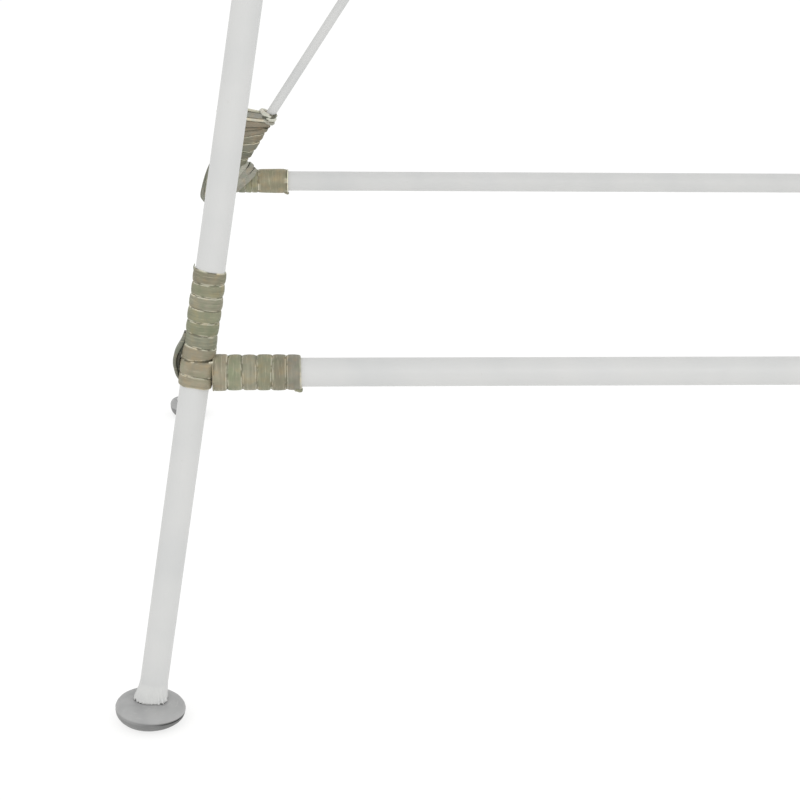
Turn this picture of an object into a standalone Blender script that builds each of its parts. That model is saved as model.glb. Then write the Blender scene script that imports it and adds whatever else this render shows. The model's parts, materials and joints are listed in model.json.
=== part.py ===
"""Free-standing clothes drying rack: a braced, splayed four-leg frame of white
steel tube, cane-lashed joints, two tiers of drying rods and swivel glides.

Metres, +Z up, +X along the rods, -Y the front. The origin is on the floor,
at the middle of the footprint.
"""
import bpy
import bmesh
import math
from mathutils import Matrix, Vector

# ---- sizes that everything else follows -------------------------------------
GAP = 0.0003                 # clearance between pieces that touch
TUBE_R = 0.0095              # 19 mm frame tube
TUBE_WALL = 0.0012
BRACE_R = 0.0046             # thin diagonal rod
DRYING_R = 0.0040            # drying rods
SEGMENTS = 24                # sides of a frame tube
ROD_SEGMENTS = 12

BASE_Z = 0.0118              # height at which the leg spacing is stated
FRONT_HALF = 0.42665         # half the front leg spacing at BASE_Z
BACK_HALF = 0.43593          # half the back leg spacing at BASE_Z
DEPTH_HALF = 0.30668         # half the front-to-back leg spacing at BASE_Z
SPLAY = 0.15164              # sideways run of a leg per metre of height
LEAN = 0.04929               # inward front-to-back run per metre of height

LOWER_Z = 0.24879            # axis height of the lower rails
MIDDLE_Z = 0.7800            # axis height of the middle side rails
BRACE_SLOPE = 0.64142        # sideways run of a brace per metre of height
BRACE_INSET = 0.00835        # brace to leg axis, sideways, at rail height
BRACE_SHIFT = 0.00510         # each brace sits this far off the legs' plane
BRACE_START = 0.0178         # a brace starts this far above a rail's axis
LEG_OVER_TOP = 0.0300        # leg above the top rail's axis
CAP_RISE = 0.0050            # height of a leg's rounded top

LASH_LEG_R = 0.0107          # lashing round a leg
LASH_RAIL_R = 0.0117         # lashing round a rail
LASH_LEG_LENGTH = 0.0695     # lashing along a leg, away from the rail
LASH_LEG_SHORT = 0.0100      # lashing past the rail on the other side
LASH_RAIL_LENGTH = 0.0675    # lashing along a rail
LASH_ROOT = 0.0047           # a rail's sleeve starts inside the leg's sleeve
LASH_BORE_ROOT = 0.0015
SIDE_RAIL_START = 0.0104     # square end of a side rail, from the leg's axis

RODS_PER_TIER = 5

BALL_Z = 0.0095              # centre of a glide's ball above the floor
BALL_R = 0.0046
SOCKET_R = 0.0049
STEM_R = 0.0022
LIP_R = 0.0042
PAD_TOP = 0.0169
LEG_START = 0.0100           # end of a leg tube, from the ball's centre
SLEEVE_START = 0.0103
SLEEVE_END = 0.0240
PLUG_START = 0.0120
PLUG_END = 0.0300

SIDES = (("left", -1.0), ("right", 1.0))
UP = Vector((0.0, 0.0, 1.0))


# ---- frame geometry ---------------------------------------------------------
def leg_point(row, side, z):
    """Point of a leg's axis at height z; row is 'front' or 'back'."""
    rise = z - BASE_Z
    if row == "front":
        return Vector((side * (FRONT_HALF - SPLAY * rise), -DEPTH_HALF + LEAN * rise, z))
    return Vector((side * (BACK_HALF - SPLAY * rise), DEPTH_HALF - LEAN * rise, z))


def leg_direction(row, side):
    return (leg_point(row, side, 1.0) - leg_point(row, side, 0.0)).normalized()


def top_rail_height():
    """Height at which a brace reaches the far leg as it leaves the near one."""
    span = 2.0 * leg_point("back", 1.0, LOWER_Z).x
    return LOWER_Z + (span - 2.0 * BRACE_INSET) / (BRACE_SLOPE + SPLAY)


TOP_Z = top_rail_height()


def brace_point(side, z):
    """Point of the brace that starts at the lower corner on this side."""
    shift = BRACE_SHIFT * side
    corner = leg_point("back", side, LOWER_Z)
    run = BRACE_INSET + BRACE_SLOPE * (z - LOWER_Z)
    return Vector((corner.x - side * run, leg_point("back", side, z).y + shift, z))


# ---- materials --------------------------------------------------------------
def material(name, colour, roughness, metallic):
    mat = bpy.data.materials.get(name)
    if mat is None:
        mat = bpy.data.materials.new(name)
        mat.use_nodes = True
        shader = mat.node_tree.nodes["Principled BSDF"]
        shader.inputs["Base Color"].default_value = (*colour, 1.0)
        shader.inputs["Roughness"].default_value = roughness
        shader.inputs["Metallic"].default_value = metallic
    return mat


def tube_paint():
    return material("white_paint", (0.80, 0.80, 0.79), 0.42, 0.0)


def cane():
    return material("cane_binding", (0.34, 0.31, 0.22), 0.60, 0.0)


def sleeve_plastic():
    return material("white_plastic", (0.78, 0.78, 0.76), 0.50, 0.0)


def pad_plastic():
    return material("grey_plastic", (0.42, 0.42, 0.42), 0.48, 0.0)


def stud_steel():
    return material("zinc_steel", (0.60, 0.60, 0.58), 0.35, 1.0)


# ---- mesh helpers -----------------------------------------------------------
def new_object(name, mesh, mat, origin=None, direction=None):
    """Object whose local Z runs along direction, with its origin placed."""
    obj = bpy.data.objects.new(name, mesh)
    bpy.context.scene.collection.objects.link(obj)
    if origin is not None:
        obj.location = origin
    if direction is not None:
        obj.rotation_mode = "QUATERNION"
        obj.rotation_quaternion = UP.rotation_difference(direction)
    mesh.materials.append(mat)
    return obj


def smooth(mesh, angle_deg=40.0):
    for polygon in mesh.polygons:
        polygon.use_smooth = True
    mesh.set_sharp_from_angle(angle=math.radians(angle_deg))


def revolved_mesh(name, profile, segments, closed=False):
    """Solid of revolution about local Z from (radius, height) points.

    An open profile starts and ends on the axis; a closed one is a ring.
    """
    mesh = bpy.data.meshes.new(name)
    bm = bmesh.new()
    rings = []
    for radius, height in profile:
        if radius < 1e-7:
            rings.append([bm.verts.new((0.0, 0.0, height))])
            continue
        ring = []
        for step in range(segments):
            angle = 2.0 * math.pi * step / segments
            ring.append(bm.verts.new((radius * math.cos(angle), radius * math.sin(angle), height)))
        rings.append(ring)
    pairs = list(zip(rings[:-1], rings[1:]))
    if closed:
        pairs.append((rings[-1], rings[0]))
    for low, high in pairs:
        for step in range(segments):
            after = (step + 1) % segments
            corners = [low[step % len(low)], low[after % len(low)],
                       high[after % len(high)], high[step % len(high)]]
            unique = list(dict.fromkeys(corners))
            if len(unique) > 2:
                bm.faces.new(unique)
    bmesh.ops.recalc_face_normals(bm, faces=bm.faces[:])
    bm.to_mesh(mesh)
    bm.free()
    smooth(mesh)
    return mesh


def rod(name, start, end, radius, mat, segments=ROD_SEGMENTS):
    """Solid round bar with slightly eased ends."""
    length = (end - start).length
    ease = radius * 0.12
    profile = [(0.0, 0.0), (radius - ease, 0.0), (radius, ease),
               (radius, length - ease), (radius - ease, length), (0.0, length)]
    return new_object(name, revolved_mesh(name, profile, segments), mat, start, end - start)


def tube(name, start, end, mat):
    """Open-ended frame tube."""
    length = (end - start).length
    inner = TUBE_R - TUBE_WALL
    profile = [(inner, 0.0), (TUBE_R, 0.0), (TUBE_R, length), (inner, length)]
    mesh = revolved_mesh(name, profile, SEGMENTS, closed=True)
    return new_object(name, mesh, mat, start, end - start)


def apply_boolean(obj, tool, operation):
    """Apply one exact boolean and throw the tool away."""
    modifier = obj.modifiers.new("cut", "BOOLEAN")
    modifier.operation = operation
    modifier.solver = "EXACT"
    modifier.object = tool
    bpy.context.view_layer.update()
    graph = bpy.context.evaluated_depsgraph_get()
    mesh = bpy.data.meshes.new_from_object(obj.evaluated_get(graph))
    obj.modifiers.clear()
    obj.data = mesh
    bpy.data.objects.remove(tool, do_unlink=True)


def plain_bar(start, end, radius, mat, segments=SEGMENTS):
    """Square-ended solid bar, used to build up or cut lashings."""
    length = (end - start).length
    profile = [(0.0, 0.0), (radius, 0.0), (radius, length), (0.0, length)]
    mesh = revolved_mesh("bar", profile, segments)
    return new_object("bar", mesh, mat, start, end - start)


# ---- frame tubes ------------------------------------------------------------
def build_leg(row, side_name, side):
    axis = leg_direction(row, side)
    start = leg_point(row, side, BALL_Z) + axis * LEG_START
    end = leg_point(row, side, TOP_Z + LEG_OVER_TOP)
    length = (end - start).length
    inner = TUBE_R - TUBE_WALL
    shoulder = length - CAP_RISE
    profile = [(inner, 0.0), (TUBE_R, 0.0), (TUBE_R, shoulder)]
    for step in range(1, 4):
        angle = math.radians(90.0 * step / 4.0)
        profile.append((TUBE_R * math.cos(angle), shoulder + CAP_RISE * math.sin(angle)))
    profile.append((0.0, length))
    profile.append((0.0, shoulder - TUBE_WALL))
    profile.append((inner, shoulder - TUBE_WALL))
    mesh = revolved_mesh("leg", profile, SEGMENTS, closed=True)
    new_object(f"leg_{row}_{side_name}", mesh, tube_paint(), start, axis)


def build_cross_rail(tier, row, height):
    """Rail along X whose coped ends fit round the two legs."""
    start = leg_point(row, -1.0, height)
    end = leg_point(row, 1.0, height)
    rail = tube(f"rail_{tier}_{row}", start, end, tube_paint())
    for side in (-1.0, 1.0):
        axis = leg_direction(row, side)
        centre = leg_point(row, side, height)
        reach = axis * 0.03
        tool = plain_bar(centre - reach, centre + reach, TUBE_R + GAP, tube_paint())
        apply_boolean(rail, tool, "DIFFERENCE")
    smooth(rail.data)


def build_side_rail(tier, side_name, side, height):
    front = leg_point("front", side, height)
    back = leg_point("back", side, height)
    along = (back - front).normalized()
    tube(f"rail_{tier}_{side_name}", front + along * SIDE_RAIL_START,
         back - along * SIDE_RAIL_START, tube_paint())


def build_drying_rods(tier, height):
    for number in range(1, RODS_PER_TIER + 1):
        share = number / (RODS_PER_TIER + 1.0)
        ends = []
        for side in (-1.0, 1.0):
            front = leg_point("front", side, height)
            back = leg_point("back", side, height)
            on_rail = front.lerp(back, share)
            clear = (TUBE_R + GAP) / abs((back - front).normalized().y)
            ends.append(on_rail - Vector((side * clear, 0.0, 0.0)))
        rod(f"drying_rod_{tier}_{number}", ends[0], ends[1], DRYING_R, tube_paint())


def build_braces():
    for side_name, side in SIDES:
        start = brace_point(side, LOWER_Z + BRACE_START)
        end = brace_point(side, TOP_Z - BRACE_START)
        rod(f"brace_from_lower_{side_name}", start, end, BRACE_R, tube_paint())


# ---- lashings ---------------------------------------------------------------
def build_lashing(tier, row, side_name, side, height, has_cross_rail, leg_way):
    """One binding: a sleeve on the leg and one on each rail that meets it."""
    mat = cane()
    joint = leg_point(row, side, height)
    axis = leg_direction(row, side)
    far = joint + axis * (leg_way * LASH_LEG_LENGTH)
    near = joint - axis * (leg_way * LASH_LEG_SHORT)
    other = leg_point("back" if row == "front" else "front", side, height)
    rails = [(other - joint).normalized()]
    if has_cross_rail:
        rails.append(Vector((-side, 0.0, 0.0)))
    body = plain_bar(near, far, LASH_LEG_R, mat, 21)
    body.name = f"lashing_{tier}_{row}_{side_name}"
    for along, sides in zip(rails, (20, 22)):
        root = joint + along * LASH_ROOT
        end = joint + along * LASH_RAIL_LENGTH
        apply_boolean(body, plain_bar(root, end, LASH_RAIL_R, mat, sides), "UNION")
    for along, sides in zip(rails, (17, 19)):
        root = joint + along * LASH_BORE_ROOT
        end = joint + along * (LASH_RAIL_LENGTH + TUBE_R)
        apply_boolean(body, plain_bar(root, end, TUBE_R + GAP, mat, sides), "DIFFERENCE")
    bore = plain_bar(near - (far - near), far + (far - near), TUBE_R + GAP, mat, 18)
    apply_boolean(body, bore, "DIFFERENCE")
    smooth(body.data)


def build_web(place, side_name, side, brace_side, height, way):
    """Wedge of woven cane between a back leg and the brace end beside it."""
    thickness = 0.0080
    first = 0.0218
    last = 0.0700
    leg_clear = LASH_LEG_R + GAP
    brace_clear = (BRACE_R + GAP) * math.sqrt(1.0 + BRACE_SLOPE ** 2)
    outline = []
    for rise in (first, last):
        z = height + way * rise
        leg_x = leg_point("back", side, z).x * side - leg_clear * math.sqrt(1.0 + SPLAY ** 2)
        brace_x = brace_point(brace_side, z).x * side + brace_clear
        outline.append((leg_x, brace_x, leg_point("back", side, z).y, z))
    mesh = bpy.data.meshes.new("web")
    bm = bmesh.new()
    corners = []
    for leg_x, brace_x, y, z in outline:
        for x in (leg_x, brace_x):
            for half in (-0.5, 0.5):
                corners.append(bm.verts.new((side * x, y + half * thickness, z)))
    bmesh.ops.convex_hull(bm, input=corners)
    bmesh.ops.dissolve_limit(bm, angle_limit=math.radians(0.5), verts=bm.verts[:], edges=bm.edges[:])
    bmesh.ops.recalc_face_normals(bm, faces=bm.faces[:])
    bm.to_mesh(mesh)
    bm.free()
    new_object(f"web_{place}_{side_name}", mesh, cane())


def build_crossing_lashing():
    """Round binding over both braces where they pass each other."""
    mat = cane()
    left = leg_point("back", -1.0, LOWER_Z).x
    cross_z = LOWER_Z + (-left - BRACE_INSET) / BRACE_SLOPE
    depth = BRACE_SHIFT + BRACE_R + 0.0022
    width = 0.0085
    centre = Vector((0.0, leg_point("back", 1.0, cross_z).y, cross_z))
    through = Vector((0.0, 1.0, LEAN)).normalized()
    body = plain_bar(centre - through * depth, centre + through * depth, width, mat, 20)
    body.name = "lashing_brace_crossing"
    for _, side in SIDES:
        low = brace_point(side, cross_z - 0.03)
        high = brace_point(side, cross_z + 0.03)
        apply_boolean(body, plain_bar(low, high, BRACE_R + GAP, mat, 14), "DIFFERENCE")
    smooth(body.data)


# ---- glides -----------------------------------------------------------------
def build_foot_sleeve(row, side_name, side):
    inner = TUBE_R + GAP
    flare = 0.0012
    flare_top = SLEEVE_START + 0.0050
    wall = 0.0008
    profile = [(inner + flare - 0.0001, SLEEVE_START), (inner + flare + wall, SLEEVE_START),
               (inner + wall, flare_top), (inner + wall, SLEEVE_END - 0.0004),
               (inner + wall - 0.0004, SLEEVE_END), (inner, SLEEVE_END), (inner, flare_top)]
    mesh = revolved_mesh("sleeve", profile, SEGMENTS, closed=True)
    new_object(f"foot_sleeve_{row}_{side_name}", mesh, sleeve_plastic(),
               leg_point(row, side, BALL_Z), leg_direction(row, side))


def build_stud(row, side_name, side):
    """Ball, stem and the plug that holds them inside the leg."""
    plug_r = TUBE_R - TUBE_WALL - GAP
    neck = math.sqrt(BALL_R ** 2 - STEM_R ** 2)
    profile = [(0.0, -BALL_R)]
    for step in range(1, 6):
        angle = math.radians(-90.0 + 150.0 * step / 6.0)
        if BALL_R * math.cos(angle) > STEM_R or angle < 0.0:
            profile.append((BALL_R * math.cos(angle), BALL_R * math.sin(angle)))
    profile.append((STEM_R, neck))
    profile.append((STEM_R, PLUG_START))
    profile.append((plug_r, PLUG_START))
    profile.append((plug_r, PLUG_END - 0.001))
    profile.append((plug_r - 0.001, PLUG_END))
    profile.append((0.0, PLUG_END))
    mesh = revolved_mesh("stud", profile, ROD_SEGMENTS)
    new_object(f"glide_stud_{row}_{side_name}", mesh, stud_steel(),
               leg_point(row, side, BALL_Z), leg_direction(row, side))


def build_pad(row, side_name, side):
    """Mushroom pad with a flat sole, smaller at the back; its origin is the ball's centre."""
    if row == "front":
        outer = [(0.0, 0.0), (0.0165, 0.0), (0.0205, 0.0024), (0.0233, 0.0072), (0.0241, 0.0099),
                 (0.0222, 0.0132), (0.0180, 0.0152), (0.0110, 0.0166), (0.0062, PAD_TOP)]
    else:
        outer = [(0.0, 0.0), (0.0120, 0.0), (0.0152, 0.0024), (0.0177, 0.0072), (0.0184, 0.0102),
                 (0.0174, 0.0136), (0.0148, 0.0157), (0.0100, 0.0167), (0.0062, PAD_TOP)]
    lip_z = BALL_Z + math.sqrt(SOCKET_R ** 2 - LIP_R ** 2)
    profile = [(radius, z - BALL_Z) for radius, z in outer]
    lip_angle = math.atan2(lip_z - BALL_Z, LIP_R)
    for step in range(5):
        angle = lip_angle + (-0.5 * math.pi - lip_angle) * step / 5.0
        profile.append((SOCKET_R * math.cos(angle), SOCKET_R * math.sin(angle)))
    profile.append((0.0, -SOCKET_R))
    mesh = revolved_mesh("pad", profile, SEGMENTS + 4)
    new_object(f"glide_pad_{row}_{side_name}", mesh, pad_plastic(), leg_point(row, side, BALL_Z))


# ---- assembly ---------------------------------------------------------------
def build_all():
    for obj in list(bpy.data.objects):
        bpy.data.objects.remove(obj, do_unlink=True)
    for row in ("front", "back"):
        for side_name, side in SIDES:
            build_leg(row, side_name, side)
            build_foot_sleeve(row, side_name, side)
            build_stud(row, side_name, side)
            build_pad(row, side_name, side)
            build_lashing("lower", row, side_name, side, LOWER_Z, True, 1.0)
            build_lashing("middle", row, side_name, side, MIDDLE_Z, False, -1.0)
            build_lashing("top", row, side_name, side, TOP_Z, True, -1.0)
        build_cross_rail("lower", row, LOWER_Z)
        build_cross_rail("top", row, TOP_Z)
    for side_name, side in SIDES:
        build_side_rail("lower", side_name, side, LOWER_Z)
        build_side_rail("middle", side_name, side, MIDDLE_Z)
        build_side_rail("top", side_name, side, TOP_Z)
        build_web("lower", side_name, side, side, LOWER_Z, 1.0)
        build_web("top", side_name, side, -side, TOP_Z, -1.0)
    build_drying_rods("middle", MIDDLE_Z)
    build_drying_rods("top", TOP_Z)
    build_braces()
    build_crossing_lashing()


build_all()
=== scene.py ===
import json
from math import acos, atan2, copysign, cos, degrees, exp, hypot, pi, radians, sin

import bpy
import numpy as np
from mathutils import Matrix, Vector, noise


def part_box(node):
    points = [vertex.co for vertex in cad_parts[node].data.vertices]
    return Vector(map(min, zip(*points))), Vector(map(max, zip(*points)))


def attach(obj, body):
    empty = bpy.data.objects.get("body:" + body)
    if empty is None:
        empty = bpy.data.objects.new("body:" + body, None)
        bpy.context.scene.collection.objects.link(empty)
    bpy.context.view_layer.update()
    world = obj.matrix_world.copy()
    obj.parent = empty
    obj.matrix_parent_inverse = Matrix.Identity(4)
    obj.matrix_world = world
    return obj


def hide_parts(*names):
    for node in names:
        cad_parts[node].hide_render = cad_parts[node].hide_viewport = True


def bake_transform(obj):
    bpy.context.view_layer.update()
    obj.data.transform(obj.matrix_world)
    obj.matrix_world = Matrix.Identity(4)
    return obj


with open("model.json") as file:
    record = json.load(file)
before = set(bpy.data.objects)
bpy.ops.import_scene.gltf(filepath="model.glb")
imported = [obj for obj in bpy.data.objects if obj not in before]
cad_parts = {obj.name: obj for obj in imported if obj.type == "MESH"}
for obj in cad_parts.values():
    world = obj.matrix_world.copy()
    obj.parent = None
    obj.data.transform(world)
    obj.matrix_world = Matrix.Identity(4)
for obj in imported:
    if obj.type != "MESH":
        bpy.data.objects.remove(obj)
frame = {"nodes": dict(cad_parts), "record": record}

for default_name in ("Cube", "Light", "Camera"):
    leftover = bpy.data.objects.get(default_name)
    if leftover is not None and default_name not in frame["nodes"]:
        bpy.data.objects.remove(leftover, do_unlink=True)
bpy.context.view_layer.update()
SCENE = bpy.context.scene

ROWS = ("front", "back")
SIDES = (("left", -1.0), ("right", 1.0))
WORLD_X = Vector((1.0, 0.0, 0.0))
WORLD_Y = Vector((0.0, 1.0, 0.0))
WORLD_Z = Vector((0.0, 0.0, 1.0))
AXIS_PASSES = 5


# ---- places read from the frame
def node_points(name):
    """Unique corner points of a CAD node."""
    obj = frame["nodes"][name]
    found = {tuple(round(c, 7) for c in obj.matrix_world @ v.co) for v in obj.data.vertices}
    return np.array(sorted(found))


def node_axis(name):
    """(start, end, radius) of a straight round CAD node."""
    points = node_points(name)
    middle = 0.5 * (points.min(axis=0) + points.max(axis=0))
    direction = np.linalg.svd(points - middle, full_matrices=False)[2][0]
    if direction[int(np.argmax(np.abs(direction)))] < 0:
        direction = -direction
    for _ in range(AXIS_PASSES):
        u = np.cross(direction, WORLD_Z if abs(direction[2]) < 0.7 else WORLD_Y)
        u /= np.linalg.norm(u)
        v = np.cross(direction, u)
        along = (points - middle) @ direction
        centres = []
        for part in (along < 0.0, along > 0.0):
            local = points[part] - middle
            centre = middle + direction * (local @ direction).mean()
            for way in (u, v):
                spread = local @ way
                centre = centre + way * 0.5 * (spread.min() + spread.max())
            centres.append(centre)
        direction = (centres[1] - centres[0]) / np.linalg.norm(centres[1] - centres[0])
        middle = 0.5 * (centres[0] + centres[1])
    along = (points - middle) @ direction
    radial = (points - middle) - np.outer(along, direction)
    radius = np.linalg.norm(radial, axis=1).max()
    start = Vector(middle + direction * along.min())
    end = Vector(middle + direction * along.max())
    return start, end, float(radius)


def mid_height(name):
    """Height of a CAD node's middle."""
    low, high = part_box(name)
    return 0.5 * (low[2] + high[2])


LEGS = {(row, hand): node_axis(f"leg_{row}_{hand}") for row in ROWS for hand, _ in SIDES}
TUBE_R = LEGS["front", "left"][2]
D = 2.0 * TUBE_R
# Radius of the surface that the cane lies on.
CANE_R = TUBE_R + 0.0001
HEIGHTS = {"lower": mid_height("rail_lower_front"),
           "middle": mid_height("rail_middle_left"),
           "top": mid_height("rail_top_front")}
PIVOTS = {j["name"]: (Vector(j["pos_m"]), Vector(j["axis"]))
          for j in frame["record"]["behaviour"]["joints"]}


def leg_at(row, hand, z):
    """Point of a leg's axis at height z."""
    start, end, _ = LEGS[row, hand]
    share = (z - start.z) / (end.z - start.z)
    return start.lerp(end, share)


def leg_up(row, hand):
    """Direction of a leg, upwards."""
    start, end, _ = LEGS[row, hand]
    return (end - start).normalized()


def side_rail_way(tier, row, hand):
    """From a joint to the one at the side rail's other end."""
    other_row = "back" if row == "front" else "front"
    return leg_at(other_row, hand, HEIGHTS[tier]) - leg_at(row, hand, HEIGHTS[tier])


def local_frame(origin, z_way, x_hint):
    """Matrix with local Z along z_way and local X as near as it can be to x_hint."""
    z = z_way.normalized()
    x = (x_hint - z * x_hint.dot(z)).normalized()
    y = z.cross(x)
    return Matrix.Translation(origin) @ Matrix((x, y, z)).transposed().to_4x4()


# ---- node material helpers
def new_material(name):
    mat = bpy.data.materials.new(name)
    mat.use_nodes = True
    tree = mat.node_tree
    return mat, tree, tree.nodes["Principled BSDF"]


def add(tree, kind, **values):
    """New node with its sockets or settings filled in by name."""
    node = tree.nodes.new(kind)
    for key, value in values.items():
        if key in node.inputs:
            node.inputs[key].default_value = value
        else:
            setattr(node, key, value)
    return node


def noise_node(tree, scale, detail=2.0, roughness=0.5, stretch=(1.0, 1.0, 1.0),
               offset=(0.0, 0.0, 0.0)):
    """Noise over the object's own coordinates, stretched and shifted."""
    where = add(tree, "ShaderNodeTexCoord")
    mapping = add(tree, "ShaderNodeMapping", Scale=stretch, Location=offset)
    tree.links.new(where.outputs["Object"], mapping.inputs["Vector"])
    node = add(tree, "ShaderNodeTexNoise", Scale=scale, Detail=detail, Roughness=roughness)
    tree.links.new(mapping.outputs["Vector"], node.inputs["Vector"])
    return node.outputs["Fac"]


def ramp(tree, fac, stops):
    node = add(tree, "ShaderNodeValToRGB")
    elements = node.color_ramp.elements
    while len(elements) < len(stops):
        elements.new(0.5)
    for element, (position, colour) in zip(elements, stops):
        element.position = position
        rgb = (colour, colour, colour) if isinstance(colour, float) else colour
        element.color = (*rgb, 1.0)
    tree.links.new(fac, node.inputs["Fac"])
    return node.outputs["Color"]


def mix(tree, blend_type, fac, a, b):
    node = add(tree, "ShaderNodeMix", data_type="RGBA", blend_type=blend_type)
    for value, socket in ((fac, node.inputs[0]), (a, node.inputs[6]), (b, node.inputs[7])):
        if isinstance(value, float):
            socket.default_value = value
        elif isinstance(value, tuple):
            socket.default_value = (*value, 1.0)
        else:
            tree.links.new(value, socket)
    return node.outputs[2]


def map_range(tree, value, low, high, to_low, to_high):
    node = add(tree, "ShaderNodeMapRange")
    tree.links.new(value, node.inputs["Value"])
    ends = (("From Min", low), ("From Max", high), ("To Min", to_low), ("To Max", to_high))
    for socket, end in ends:
        node.inputs[socket].default_value = end
    return node.outputs["Result"]


def bump(tree, shader, height, strength, distance):
    node = add(tree, "ShaderNodeBump", Strength=strength, Distance=distance)
    tree.links.new(height, node.inputs["Height"])
    tree.links.new(node.outputs["Normal"], shader.inputs["Normal"])


def dress(tree, shader, colour, fac, smooth, rough):
    """Colour of a shader, and its roughness over the middle of a noise's range."""
    tree.links.new(colour, shader.inputs["Base Color"])
    tree.links.new(map_range(tree, fac, 0.3, 0.7, smooth, rough), shader.inputs["Roughness"])


# Tones over a noise's range, and the colours laid over them.
PAINT_TONES = ((0.3, (0.548, 0.554, 0.55)), (0.55, (0.592, 0.593, 0.584)),
               (0.75, (0.566, 0.571, 0.57)))
PAINT_SPECK = (0.5, 0.5, 0.47)
CANE_GRAIN = ((0.28, 0.83), (0.5, 0.98), (0.74, 1.1))
CANE_HUES = ((0.32, (0.84, 0.92, 0.84)), (0.5, (0.98, 0.98, 0.97)), (0.68, (1.14, 1.03, 0.88)))
CANE_SPLIT = (0.56, 0.53, 0.39)
PAD_TONES = ((0.32, (0.312, 0.314, 0.312)), (0.68, (0.382, 0.383, 0.38)))
PAD_SCUFF = (0.44, 0.44, 0.43)
SLEEVE_TONES = ((0.3, (0.565, 0.57, 0.562)), (0.7, (0.61, 0.612, 0.6)))
ZINC_TONES = ((0.3, (0.5, 0.5, 0.48)), (0.7, (0.66, 0.66, 0.63)))


def paint_material():
    """Satin white powder coat: faint orange peel, slight unevenness and scuffs."""
    mat, tree, shader = new_material("satin_white_paint")
    broad = noise_node(tree, 14.0, 3.0)
    tone = ramp(tree, broad, PAINT_TONES)
    fine = noise_node(tree, 260.0, 4.0, 0.6, offset=(3.1, 0.4, 1.7))
    speck = map_range(tree, fine, 0.66, 0.78, 0.0, 0.35)
    colour = mix(tree, "MIX", speck, tone, PAINT_SPECK)
    gloss = noise_node(tree, 55.0, 3.0, offset=(0.3, 2.2, 0.9))
    dress(tree, shader, colour, gloss, 0.36, 0.5)
    shader.inputs["Specular IOR Level"].default_value = 0.4
    peel = noise_node(tree, 900.0, 2.0, offset=(1.3, 1.2, 0.2))
    bump(tree, shader, peel, 0.18, 0.0002)
    return mat


def cane_material():
    """Split cane: long fibres along each turn, tinted turn by turn, with pale splits."""
    mat, tree, shader = new_material("split_cane")
    tint = add(tree, "ShaderNodeAttribute", attribute_name="tint").outputs["Color"]
    fibre = noise_node(tree, 1.0, 4.0, 0.62, stretch=(55.0, 55.0, 1500.0))
    grain = ramp(tree, fibre, CANE_GRAIN)
    toned = mix(tree, "MULTIPLY", 1.0, tint, grain)
    patch = noise_node(tree, 150.0, 3.0, 0.6, offset=(0.2, 0.7, 0.1))
    hue = ramp(tree, patch, CANE_HUES)
    toned = mix(tree, "MULTIPLY", 0.85, toned, hue)
    split = noise_node(tree, 1.0, 2.0, 0.5, stretch=(75.0, 75.0, 2300.0), offset=(0.4, 0.9, 0.0))
    split_fac = map_range(tree, split, 0.665, 0.71, 0.0, 0.6)
    toned = mix(tree, "MIX", split_fac, toned, CANE_SPLIT)
    dress(tree, shader, toned, fibre, 0.66, 0.46)
    shader.inputs["Specular IOR Level"].default_value = 0.35
    bump(tree, shader, fibre, 0.55, 0.0003)
    return mat


def pad_material():
    """Satin moulded plastic, a little scuffed; painted shade in the bowl and its crease comes by
    the tint.
    """
    mat, tree, shader = new_material("grey_glide_plastic")
    broad = noise_node(tree, 60.0, 3.0)
    tone = ramp(tree, broad, PAD_TONES)
    scratch = noise_node(tree, 1.0, 3.0, 0.6, stretch=(120.0, 120.0, 1400.0))
    scuff = map_range(tree, scratch, 0.6, 0.7, 0.0, 0.45)
    tone = mix(tree, "MIX", scuff, tone, PAD_SCUFF)
    tint = add(tree, "ShaderNodeAttribute", attribute_name="tint").outputs["Color"]
    dress(tree, shader, mix(tree, "MULTIPLY", 1.0, tone, tint), scratch, 0.4, 0.54)
    shader.inputs["Specular IOR Level"].default_value = 0.4
    grain = noise_node(tree, 1400.0, 2.0, offset=(0.5, 0.5, 0.5))
    bump(tree, shader, grain, 0.15, 0.0002)
    return mat


def sleeve_material():
    """Thin white plastic sleeve, slightly translucent looking and creased."""
    mat, tree, shader = new_material("white_sleeve_plastic")
    broad = noise_node(tree, 220.0, 3.0)
    dress(tree, shader, ramp(tree, broad, SLEEVE_TONES), broad, 0.42, 0.58)
    shader.inputs["Specular IOR Level"].default_value = 0.35
    crease = noise_node(tree, 420.0, 2.0, stretch=(1.0, 1.0, 0.4))
    bump(tree, shader, crease, 0.25, 0.0004)
    return mat


def steel_material():
    """Zinc-plated stud."""
    mat, tree, shader = new_material("zinc_plated_steel")
    lathe = noise_node(tree, 1.0, 3.0, stretch=(90.0, 90.0, 2600.0))
    shader.inputs["Metallic"].default_value = 1.0
    dress(tree, shader, ramp(tree, lathe, ZINC_TONES), lathe, 0.28, 0.44)
    bump(tree, shader, lathe, 0.2, 0.0001)
    return mat


PAINT = paint_material()
CANE = cane_material()
PAD = pad_material()
SLEEVE = sleeve_material()
STEEL = steel_material()

# Tints: cream, used for the painted highlight on strip edges and for a pale rim; single turns of
# cane; and the wider or loose parts of a binding, among them the dark layer of painted shade seen
# between turns.
CREAM = (0.8, 0.77, 0.63)
TINTS = ((0.256, 0.258, 0.172), (0.25, 0.25, 0.182), (0.226, 0.208, 0.146),
         (0.262, 0.25, 0.182), (0.242, 0.246, 0.162), (0.25, 0.236, 0.186),
         (0.24, 0.236, 0.158))
COLLAR_TINT = (0.292, 0.262, 0.188)
BROAD_TINT = (0.272, 0.248, 0.168)
SHADE_TINT = (0.175, 0.168, 0.12)
GAP_SHADE_TINT = (0.19, 0.18, 0.128)
STRAP_TINT = (0.188, 0.188, 0.15)
PALE_TINT = (0.47, 0.46, 0.39)
DULL_TINT = (0.33, 0.32, 0.27)


def scaled(tint, shade):
    return tuple(c * shade for c in tint)


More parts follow.
